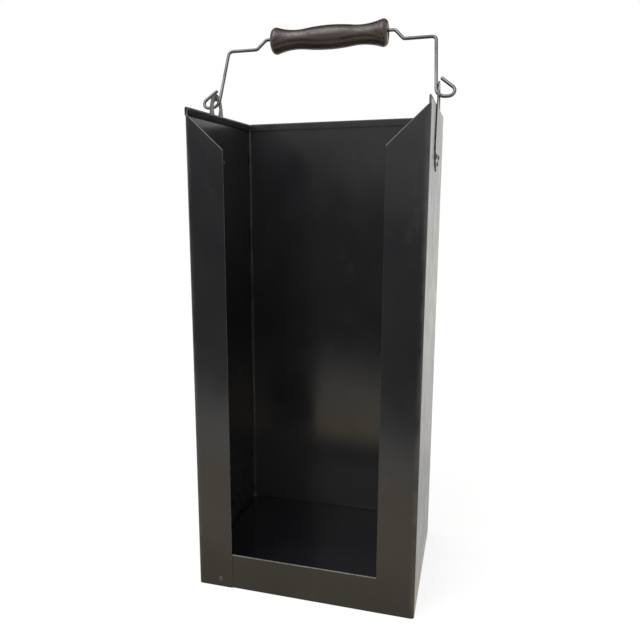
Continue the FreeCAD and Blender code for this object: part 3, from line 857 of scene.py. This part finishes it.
def make_bail(finish):
    """The bail's wire from hook to hook, in the leaning plane of the bail."""
    foot_x = wall_x - WIRE / 2 - BAIL_CLEARANCE
    jog_x = grip_end_x + GRIP_PLAY
    half = [
        (foot_x + HOOK_TIP_OFFSET, HOOK_TIP_RISE, 0.0),
        (foot_x + HOOK_REACH, 0.0, HOOK_BEND),
        (foot_x, 0.0, FOOT_BEND),
        (foot_x - LEG_LEAN, SHOULDER_RISE, SHOULDER_BEND),
        (jog_x + JOG_RUN, SHOULDER_RISE, JOG_BEND),
        (jog_x, GRIP_RISE, JOG_BEND),
    ]
    corners = [(-x, rise, bend) for x, rise, bend in half] + half[::-1]
    points = [pivot + Vector((x, 0, 0)) + bail_rise * rise for x, rise, bend in corners]
    bends = [bend for x, rise, bend in corners]
    piece = grow(
        "bail_wire_bent",
        seed_mesh("bail_line", points, bend=bends),
        bent_wire_tree(),
        {"Diameter": WIRE, "Sides": WIRE_SIDES, "Bend Steps": WIRE_BEND_STEPS, "Finish": finish},
    )
    round_edges(piece, WIRE_END_ROUND, sharper_than=60)
    seat(piece, "bail", "bail_wire", "bail_wire")


def make_grip(finish):
    """Turned grip: belly, necks and end beads are arcs that run into each other, bored for the wire."""
    belly = GRIP_BELLY / 2
    neck = GRIP_NECK / 2
    bead = GRIP_END / 2
    bead_x = grip_end_x - GRIP_BEAD_INSET
    neck_x = grip_end_x - GRIP_NECK_INSET

    # Two arcs that meet without a corner: run and rise between them give the sum of their radii
    belly_radii = (neck_x**2 + (belly - neck) ** 2) / (2 * (belly - neck))
    bead_radii = ((bead_x - neck_x) ** 2 + (bead - neck) ** 2) / (2 * (bead - neck))
    neck_radius = bead_radii - GRIP_BEAD_RADIUS
    belly_radius = belly_radii - neck_radius
    belly_turn = math.degrees(math.asin(neck_x / belly_radii))
    bead_turn = math.degrees(math.asin((bead_x - neck_x) / bead_radii))
    end_turn = math.degrees(math.asin(GRIP_BEAD_INSET / GRIP_BEAD_RADIUS))

    half = arc((0, belly - belly_radius), belly_radius, 90, 90 - belly_turn, GRIP_ARC_STEPS)
    neck_centre = (neck_x, neck + neck_radius)
    half += arc(neck_centre, neck_radius, 270 - belly_turn, 270 + bead_turn, GRIP_ARC_STEPS)[1:]
    bead_centre = (bead_x, bead - GRIP_BEAD_RADIUS)
    half += arc(bead_centre, GRIP_BEAD_RADIUS, 90 + bead_turn, 90 - end_turn, GRIP_ARC_STEPS)[1:]
    half.append((grip_end_x, GRIP_BORE / 2))
    outline = [(radius, -x, 0) for x, radius in half[:0:-1]] + [(radius, x, 0) for x, radius in half]
    piece = grow(
        "turned_grip",
        seed_mesh("grip_outline", outline, closed=True),
        turned_tree(),
        {"Guide Radius": GRIP_NECK / 2, "Sides": GRIP_SIDES, "Finish": finish},
    )
    piece.data.transform(Matrix.Translation(grip_middle))
    seat(piece, "grip", "grip_wood", "grip")


# Studio

def add_sheet(name, corners, material):
    """A flat sheet of the studio with the given corners."""
    data = bpy.data.meshes.new(name)
    data.from_pydata(corners, [], [(0, 1, 2, 3)])
    data.materials.append(material)
    sheet = bpy.data.objects.new(name, data)
    bpy.context.scene.collection.objects.link(sheet)
    return sheet


def make_floor():
    """Pale floor that shows white to the camera and keeps the object's soft shadow.

    Gloss sees it warm before the box and lighter far behind, and next to the box it glows for gloss: painted
    light that takes the box's shadow out of reflections.
    """
    material, tree = new_material("pale_floor")
    ray = add_node(tree, "ShaderNodeLightPath").outputs
    place = add_node(tree, "ShaderNodeTexCoord").outputs["Object"]
    along = add_node(tree, "ShaderNodeSeparateXYZ", {"Vector": place}).outputs["Y"]
    off_middle = calculate(tree, "ABSOLUTE", plus(tree, along, WARM_MIDDLE))
    warmth = spread(tree, off_middle, (WARM_CORE, WARM_REACH), (1, 0))
    plain = mix_colours(tree, spread(tree, along, (FAR_START, FAR_END)), FLOOR_PLAIN, FLOOR_FAR)
    tone = mix_colours(tree, warmth, plain, FLOOR_WARM)
    from_front = spread(tree, along, (front_y - PAINTED_GLOW_FRONT_FADE, front_y))
    to_back = spread(tree, along, (back_y + PAINTED_GLOW_BACK_START, back_y + PAINTED_GLOW_BACK_END), (1, 0))
    painted_glow_reach = times(tree, from_front, to_back)

    matt = add_node(tree, "ShaderNodeBsdfDiffuse", {"Color": tone}).outputs["BSDF"]
    painted_glow = add_node(tree, "ShaderNodeEmission", {"Color": tone, "Strength": 1.0}).outputs["Emission"]
    shaded = add_node(tree, "ShaderNodeBsdfDiffuse", {"Color": FLOOR_SHADED}).outputs["BSDF"]
    bright = add_node(tree, "ShaderNodeEmission", {"Color": WHITE, "Strength": FLOOR_WHITE}).outputs
    # Next to the box gloss sees the floor glow: painted light that hides the box's shadow in reflections
    mirrored = mix_shaders(tree, times(tree, painted_glow_reach, ray["Is Glossy Ray"]), matt, painted_glow)
    seen = mix_shaders(tree, FLOOR_WHITE_SHARE, shaded, bright["Emission"])
    surface = mix_shaders(tree, ray["Is Camera Ray"], mirrored, seen)
    add_node(tree, "ShaderNodeOutputMaterial", {"Surface": surface})

    reach = FLOOR_SIZE / 2
    corners = [(-reach, -reach, 0), (reach, -reach, 0), (reach, reach, 0), (-reach, reach, 0)]
    floor = add_sheet("floor", corners, material)


def make_dark_card(name, corners, felt):
    """Dark card which only the gloss of paint, wire and wood sees."""
    card = add_sheet(name, corners, felt)
    card.visible_camera = False
    card.visible_diffuse = False
    card.visible_shadow = False


def make_dark_cards():
    """One card before the box, leaning far back, and one slanting above and behind it."""
    felt, tree = new_material("dark_felt")
    matt = add_node(tree, "ShaderNodeBsdfDiffuse", {"Color": grey(FELT_LEVEL)})
    add_node(tree, "ShaderNodeOutputMaterial", {"Surface": matt.outputs["BSDF"]})

    ahead = Vector((-math.sin(VIEW_AZIMUTH), math.cos(VIEW_AZIMUTH), 0))
    across = Vector((ahead.y, -ahead.x, 0))
    up = Vector((0, 0, 1))
    foot = -ahead * CARD_FOOT_DISTANCE
    top = -ahead * CARD_TOP_DISTANCE
    front_card = [
        foot + across * CARD_LEFT,
        foot + across * CARD_RIGHT,
        top + across * CARD_RIGHT + up * CARD_RIGHT_HEIGHT,
        top + across * CARD_LEFT + up * CARD_LEFT_HEIGHT,
    ]
    make_dark_card("front_card", front_card, felt)
    side = across * REAR_CARD_WIDTH / 2
    low = ahead * REAR_CARD_FAR + up * REAR_CARD_LOW
    high = ahead * REAR_CARD_NEAR + up * REAR_CARD_HIGH
    make_dark_card("rear_card", [low - side, low + side, high + side, high - side], felt)


def make_light():
    """Even white surroundings and one large soft lamp, high up before the box."""
    world = bpy.data.worlds.new("studio")
    world.use_nodes = True
    tree = world.node_tree
    tree.nodes.clear()
    ray = add_node(tree, "ShaderNodeLightPath").outputs
    surroundings = add_node(tree, "ShaderNodeBackground", {"Color": SURROUNDINGS, "Strength": 1.0})
    backdrop = add_node(tree, "ShaderNodeBackground", {"Color": WHITE, "Strength": 1.0})
    mixed = mix_shaders(
        tree, ray["Is Camera Ray"], surroundings.outputs["Background"], backdrop.outputs["Background"]
    )
    add_node(tree, "ShaderNodeOutputWorld", {"Surface": mixed})
    bpy.context.scene.world = world

    lamp = bpy.data.lights.new("soft_lamp", "AREA")
    lamp.shape = "RECTANGLE"
    lamp.size = LAMP_SIZE
    lamp.size_y = LAMP_SIZE
    lamp.energy = LAMP_WATTS
    holder = bpy.data.objects.new("soft_lamp", lamp)
    turn = (LAMP_AIM - LAMP_PLACE).to_track_quat("-Z", "Y")
    holder.matrix_world = Matrix.Translation(LAMP_PLACE) @ turn.to_matrix().to_4x4()
    bpy.context.scene.collection.objects.link(holder)


def make_camera():
    """Camera at the photograph's view, with the shift that its framing needs."""
    toward = Vector(
        (
            -math.sin(VIEW_AZIMUTH) * math.cos(VIEW_ELEVATION),
            math.cos(VIEW_AZIMUTH) * math.cos(VIEW_ELEVATION),
            -math.sin(VIEW_ELEVATION),
        )
    )
    level = Vector((math.cos(VIEW_AZIMUTH), math.sin(VIEW_AZIMUTH), 0))
    upright = level.cross(toward)
    right = level * math.cos(VIEW_ROLL) + upright * math.sin(VIEW_ROLL)
    up = right.cross(toward)
    lens = bpy.data.cameras.new("camera")
    lens.sensor_width = SENSOR_MM
    lens.lens = FOCAL_PIXELS * SENSOR_MM / IMAGE_WIDTH
    lens.shift_x = (IMAGE_WIDTH / 2 - AXIS_PIXEL) / IMAGE_WIDTH
    lens.clip_start = 10 * MM
    camera = bpy.data.objects.new("camera", lens)
    axes = Matrix((right, up, -toward)).transposed().to_4x4()
    camera.matrix_world = Matrix.Translation(VIEW_TARGET - toward * VIEW_DISTANCE) @ axes
    bpy.context.scene.collection.objects.link(camera)
    bpy.context.scene.camera = camera


sheet_black = (0.0050, 0.0054, 0.0075, 1), (0.0088, 0.0092, 0.0112, 1)
sheet_paint = black_paint("satin_black_sheet", *sheet_black, haze=0.60, gloss=0.19, worn=True)
floor_paint = black_paint("glossy_black_floor", *sheet_black, haze=0.50, gloss=0.12, skin_index=1.95)
# Cut edges are painted lighter: thin, worn paint, and partly painted highlight where they catch light
cut_edge_paint_and_highlight = black_paint("satin_black_cut_edge_and_highlight", grey(0.06, 0.03), grey(0.14, 0.03), haze=0.42, gloss=0.30)
fitting_paint = black_paint("satin_black_fitting", grey(0.022), grey(0.036, 0.03), haze=0.44, gloss=0.26)

make_body_shell(sheet_paint, cut_edge_paint_and_highlight)
frame["nodes"]["floor_pan"].data.materials.clear()
frame["nodes"]["floor_pan"].data.materials.append(floor_paint)
for ear in ("left_ear", "right_ear"):
    make_ear(ear, fitting_paint)
make_rivets(fitting_paint)
make_bail(lacquered_wire())
make_grip(stained_wood())
make_floor()
make_dark_cards()
make_light()
make_camera()
bpy.context.scene.view_settings.view_transform = "Standard"
